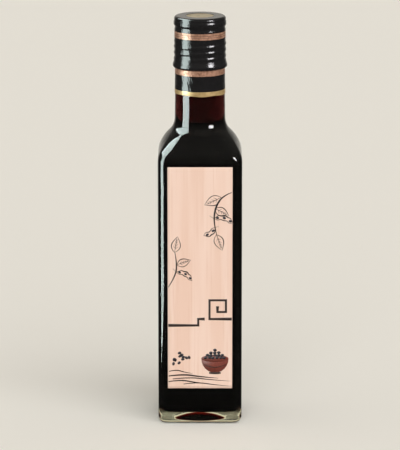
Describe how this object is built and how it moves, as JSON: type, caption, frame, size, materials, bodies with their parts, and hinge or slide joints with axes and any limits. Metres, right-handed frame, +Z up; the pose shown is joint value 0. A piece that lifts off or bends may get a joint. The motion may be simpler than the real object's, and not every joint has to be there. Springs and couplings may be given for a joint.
{
  "type": "soy sauce bottle",
  "caption": "Square clear glass bottle filled with dark soy sauce, with a paper label, a screw cap and a black shrink capsule with copper bands.",
  "frame": {"origin": "middle of the base, on the surface that the bottle stands on", "axes": "+Z up along the bottle's axis, label facing -Y, +X to the right as seen from the label side"},
  "size_m": [0.046, 0.0462, 0.2245],
  "materials": {
    "glass": "clear, faintly green, smooth",
    "sauce": "near-black red-brown liquid",
    "cap_metal": "gold-beige lacquered, satin",
    "capsule_film": "glossy shrink film with copper and gold bands",
    "label_paper": "matt uncoated paper, pale pink-peach",
    "print_ink": "dark brown printing ink"
  },
  "bodies": {
    "root": {"bottle_glass": "glass", "soy_sauce": "sauce", "screw_cap": "cap_metal", "capsule": "capsule_film", "label_front": "label_paper"}
  },
  "joints": []
}
